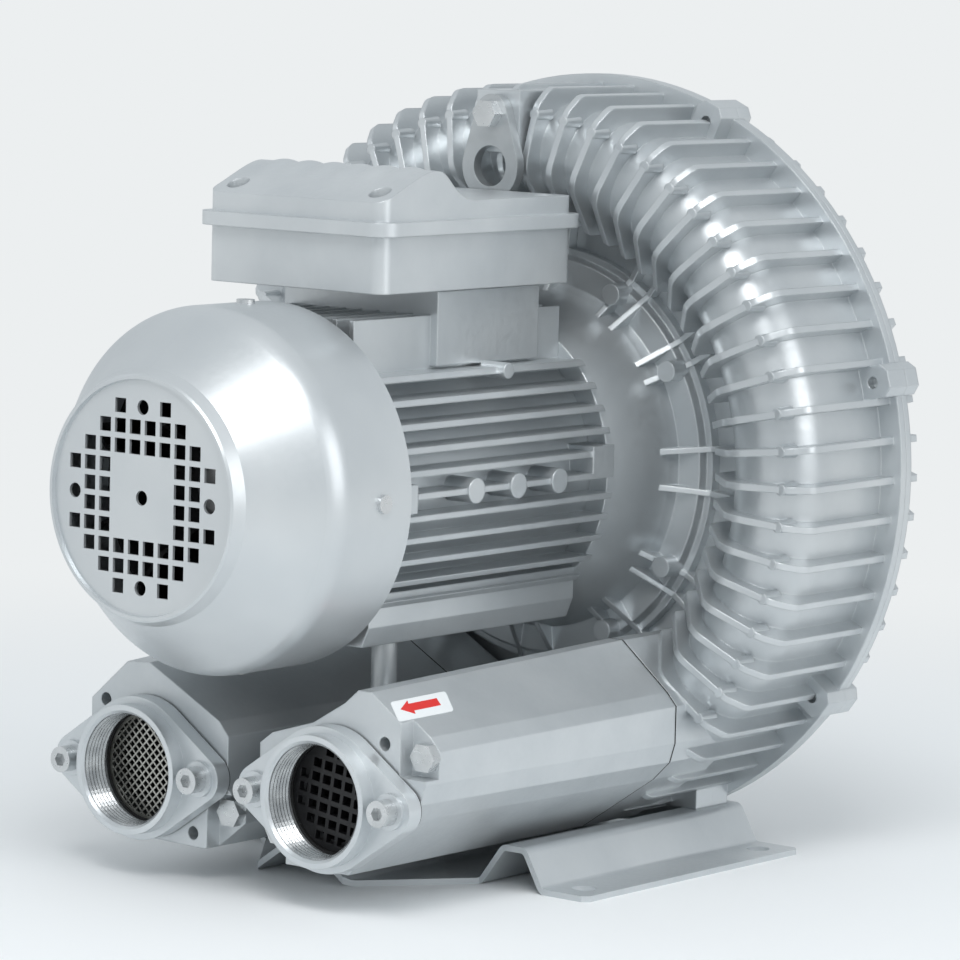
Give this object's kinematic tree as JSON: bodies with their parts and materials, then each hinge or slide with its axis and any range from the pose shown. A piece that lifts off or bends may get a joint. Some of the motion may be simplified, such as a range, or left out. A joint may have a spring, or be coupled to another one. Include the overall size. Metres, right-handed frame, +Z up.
{
  "type": "side channel blower",
  "caption": "Side channel blower with a finned annular housing, flange mounted motor with fan cover and terminal box, twin silencers with threaded ports, and a bent base plate.",
  "frame": {"origin": "centre of the four holes of the base plate, on the floor", "axes": "+Z up; the shaft lies along Y, with the fan cover and both ports facing -Y; the outlet is on +X"},
  "size_m": [0.397, 0.396, 0.3995],
  "materials": {
    "base_plate": "satin zinc plated sheet",
    "housing_casting": "satin aluminium die casting with clear paint",
    "motor_casting": "satin aluminium paint",
    "silencer_casting": "satin aluminium paint on a sand casting",
    "port_casting": "machined and painted aluminium",
    "impeller_casting": "as cast aluminium",
    "fan_cover_paint": "satin silver paint on drawn sheet",
    "zinc_fasteners": "bright zinc plate",
    "zinc_plate": "zinc plated steel",
    "steel_wire": "stainless wire",
    "bearing_steel": "ground steel",
    "electrical_steel": "stacked electrical steel",
    "copper_winding": "varnished copper wire",
    "brass_studs": "bright brass",
    "black_plastic": "moulded black plastic",
    "black_rubber": "pressed gasket",
    "grey_foam": "open cell foam"
  },
  "bodies": {
    "root": {"base_plate": "base_plate", "foot_bolts": "zinc_fasteners", "housing_front": "housing_casting", "housing_rear": "housing_casting", "housing_screws": "zinc_fasteners", "drive_end_bell": "housing_casting", "bell_screws": "zinc_fasteners", "motor_frame": "motor_casting", "stator_core": "electrical_steel", "winding_heads": "copper_winding", "fan_end_shield": "motor_casting", "bearing_outer_rings": "bearing_steel", "fan_cover": "fan_cover_paint", "fan_cover_screws": "zinc_fasteners", "box_gasket": "black_rubber", "terminal_box": "motor_casting", "terminal_lid": "motor_casting", "lid_screws": "zinc_fasteners", "cable_plug": "black_plastic", "terminal_block": "black_plastic", "terminal_studs": "brass_studs", "silencer_outlet": "silencer_casting", "silencer_inlet": "silencer_casting", "silencer_gasket_outlet": "black_rubber", "silencer_gasket_inlet": "black_rubber", "silencer_bolts": "zinc_fasteners", "liner_outlet": "grey_foam", "liner_inlet": "grey_foam", "port_gasket_outlet": "black_rubber", "port_gasket_inlet": "black_rubber", "port_flange_outlet": "port_casting", "port_flange_inlet": "port_casting", "port_screws": "zinc_fasteners", "inlet_screen": "steel_wire", "outlet_insert": "black_plastic", "lifting_eye": "zinc_plate", "lifting_eye_bolt": "zinc_fasteners", "support_post": "zinc_plate"},
    "rotor": {"shaft": "bearing_steel", "rotor_core": "electrical_steel", "end_rings": "impeller_casting", "impeller": "impeller_casting", "impeller_key": "bearing_steel", "cap_washer": "zinc_fasteners", "cap_bolt": "zinc_fasteners", "cooling_fan": "black_plastic", "fan_clip": "bearing_steel", "bearing_inner_rings": "bearing_steel"},
    "bearing_cages": {"ball_cages": "bearing_steel"}
  },
  "joints": [
    {"name": "rotor_spin", "type": "hinge", "parent": "root", "child": "rotor", "pos_m": [0, 0, 0.201], "axis": [0, 1, 0], "continuous": true},
    {"name": "cage_spin", "type": "hinge", "parent": "root", "child": "bearing_cages", "pos_m": [0, 0, 0.201], "axis": [0, 1, 0], "continuous": true}
  ],
  "couplings": [
    {"joint": "cage_spin", "follows": "rotor_spin", "ratio": 0.428}
  ]
}
